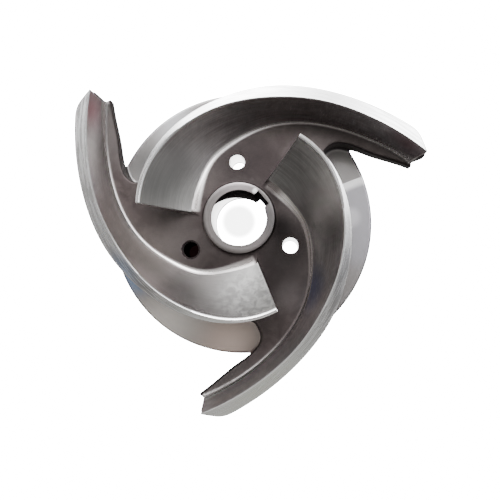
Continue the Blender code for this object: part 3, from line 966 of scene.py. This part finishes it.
def hole_circle(index, radius):
    """Points round one balance hole, as x and y."""
    t = np.linspace(0.0, 2.0 * math.pi, HOLE_STEPS, endpoint=False)
    return placed(HOLE_ANGLE + THIRD * index, HOLE_CIRCLE) + placed(t, radius)


rim_profile = [(DISC_RADIUS - 0.0002, -0.0775), (DISC_RADIUS - 0.0001, -0.0809), (DISC_RADIUS, -0.0815),
               (DISC_RADIUS, BACK_FACE + RIM_ROUND),
               (DISC_RADIUS - 0.3 * RIM_ROUND, BACK_FACE + 0.3 * RIM_ROUND),
               (DISC_RADIUS - RIM_ROUND, BACK_FACE)]
boss_profile = [(BOSS_RADIUS + BOSS_FOOT, BACK_FACE), (BOSS_RADIUS, BACK_FACE - 0.0014),
                (BOSS_RADIUS, BOSS_FACE + BACK_BREAK), (BOSS_RADIUS - BACK_BREAK, BOSS_FACE)]
rim_grid = lathe_grid(rim_profile, RIM_STEPS)
boss_grid = lathe_grid(boss_profile, BOSS_STEPS)
back_rim = put_grid("back_rim", rim_grid, MACHINED_CORNER, flipped=True)
back_boss = put_grid("back_boss", boss_grid, MACHINED_CORNER, flipped=True)

loops = [rim_grid[:, -1, :2], boss_grid[::-1, 0, :2]]
loops += [hole_circle(index, HOLE_RADIUS + BACK_BREAK)[::-1] for index in range(VANE_COUNT)]
flat = [[Vector((x, y, 0.0)) for x, y in loop] for loop in loops]
flat_points = np.concatenate(loops)
flat_points = np.column_stack([flat_points, np.full(len(flat_points), BACK_FACE + HUB_FRONT_Z)])
back_face = put_mesh("back_face", flat_points, np.array(tessellate_polygon(flat)))

ring_turns = keyed_turns()
bore_edge = keyed_bore(ring_turns)
annulus = [ring_point(ring_turns, bore_edge, BOSS_FACE + BORE_CHAMFER),
           ring_point(ring_turns, bore_edge + BORE_CHAMFER, BOSS_FACE),
           ring_point(ring_turns, BOSS_RADIUS - BACK_BREAK, BOSS_FACE)]
boss_face = put_grid("boss_face", np.concatenate(annulus, 1), MACHINED_CORNER)

turned_back, tree, shader, point = steel("turned_back")
marks = marks_of(tree, point, 0.0008)
skin = skin_of(tree, point, 0.0020)
paint = mixed(tree, marks["Streak"], (0.42, 0.405, 0.395), (0.54, 0.525, 0.51))
paint = mixed(tree, times(tree, skin["Mottle"], 0.5), paint, (0.36, 0.325, 0.31))
dress(tree, shader, paint, eased(tree, marks["Streak"], 0.0, 1.0, 0.30, 0.44), marks["Height"], 0.00004)
for piece in (back_rim, back_boss, back_face, boss_face):
    belongs(piece, turned_back)


# Balance holes.
# Three drilled holes near the hub let liquid through the plate. Each has a bright wall and a slightly broken
# edge where it meets the cast floor. The left one is painted black as shade.
LIP_STEPS = ((0.0022, -0.00008), (0.0014, 0.00002), (0.0008, -0.00005), (0.0003, -0.00025), (0.0, -0.0009))
WALL_SHARES = (0.04, 0.1, 0.4, 0.7, 1.0)
LIP_RINGS = 6
HOLE_CORNER = math.radians(40.0)


def floor_height(points):
    """Height of the floor under each (x, y), by halving the span between plate and hub face."""
    angle, radius = polar(points)
    bottom, top = np.full(len(points), -0.060), np.full(len(points), 0.0)
    for _ in range(24):
        middle = 0.5 * (bottom + top)
        solid = ground_distance(angle, radius, middle) < 0.0
        bottom, top = np.where(solid, middle, bottom), np.where(solid, top, middle)
    return bottom


def hole_wall(index):
    """Rings down one hole: from the floor, over a rounded lip, down the wall and out on the back face."""
    rings = []
    for offset, drop in LIP_STEPS:
        spots = hole_circle(index, HOLE_RADIUS + offset)
        rings.append(np.column_stack([spots, floor_height(spots) + drop]))
    edge_ring = rings[-1]
    for share in WALL_SHARES:
        ring = edge_ring.copy()
        ring[:, 2] += share * (BACK_FACE + BACK_BREAK - ring[:, 2])
        rings.append(ring)
    mouth = hole_circle(index, HOLE_RADIUS + BACK_BREAK)
    rings.append(np.column_stack([mouth, np.full(HOLE_STEPS, BACK_FACE)]))
    return np.stack(rings, 1) + [0.0, 0.0, HUB_FRONT_Z]


hole_steel, tree, shader, point = steel("hole_steel")
marks = marks_of(tree, point, 0.0012)
skin = skin_of(tree, point, 0.0011)
lip = mask_of(tree, "lip")
# Painted shade: the wall of the left hole, below its lip, is black and dull.
painted_shade = eased(tree, part_of(tree, point, 0), -0.040, -0.046)
painted_shade = times(tree, painted_shade, maths(tree, "SUBTRACT", 1.0, lip))
paint = mixed(tree, marks["Streak"], *BRIGHT_WALL)
paint = mixed(tree, times(tree, skin["Mottle"], 0.3), paint, (0.62, 0.60, 0.58))
paint = mixed(tree, lip, paint, (0.045, 0.037, 0.036))
paint = mixed(tree, painted_shade, paint, (0.006, 0.003, 0.003))
smooth = eased(tree, skin["Height"], 0.2, 0.8, 0.18, 0.34)
dress(tree, shader, paint, eased(tree, lip, 0.0, 1.0, smooth, 0.6), skin["Height"], 0.00005)
dull_painted_shade(tree, shader, painted_shade)

for index in range(VANE_COUNT):
    wall = hole_wall(index)
    piece = put_grid(f"balance_hole_{index + 1}", wall, HOLE_CORNER, flipped=True)
    put_mask(piece, "lip", np.tile(np.arange(wall.shape[1]) < LIP_RINGS, wall.shape[0]))
    belongs(piece, hole_steel)


# Light.
# A large soft light with a bright core stands above the top of the picture, and a small one to its right. The
# rest of the room is dim and a little warm, paler at the left and the right and darkest below the picture.
# The camera itself sees the room as white as the table.
world = bpy.data.worlds.new("studio")
world.use_nodes = True
tree = world.node_tree
aim = add_node(tree, "TexCoord", {}).outputs["Generated"]


def softbox(turn, rise, core, reach):
    """Mask of the directions near one given by its turn from the picture's right and its rise, in degrees:
    one within the core angle and zero beyond the reach."""
    turn, rise = math.radians(turn) + KEYWAY_TURN, math.radians(rise)
    axis = (math.cos(rise) * math.cos(turn), math.cos(rise) * math.sin(turn), math.sin(rise))
    toward = vector_maths(tree, "DOT_PRODUCT", aim, axis)
    return eased(tree, toward, math.cos(math.radians(reach)), math.cos(math.radians(core)))


room = mixed(tree, eased(tree, part_of(tree, aim, 2), 0.05, 0.80), (0.26, 0.255, 0.25), (0.34, 0.325, 0.32))
for turn, rise, core, reach, tone in (
        (265.0, 25.0, 20.0, 80.0, (0.13, 0.12, 0.12)), (0.0, 90.0, 8.0, 26.0, (0.56, 0.53, 0.515)),
        (145.0, 18.0, 20.0, 55.0, (0.55, 0.55, 0.54)), (2.0, 25.0, 18.0, 50.0, (0.60, 0.60, 0.61)),
        (15.0, 52.0, 8.0, 24.0, (0.95, 0.95, 0.97)), (265.0, 59.0, 10.0, 26.0, (0.62, 0.62, 0.59)),
        (88.0, 42.0, 12.0, 36.0, (3.6, 3.6, 3.7)), (36.0, 54.0, 6.0, 15.0, (10.0, 10.0, 10.1)),
        (96.0, 55.0, 10.0, 19.0, (13.0, 13.0, 13.1))):
    room = mixed(tree, softbox(turn, rise, core, reach), room, tone)
room = mixed(tree, add_node(tree, "LightPath", {}).outputs["Is Camera Ray"], room, [TABLE_GLOW] * 3)
tree.links.new(room, tree.nodes["Background"].inputs["Color"])
bpy.context.scene.world = world
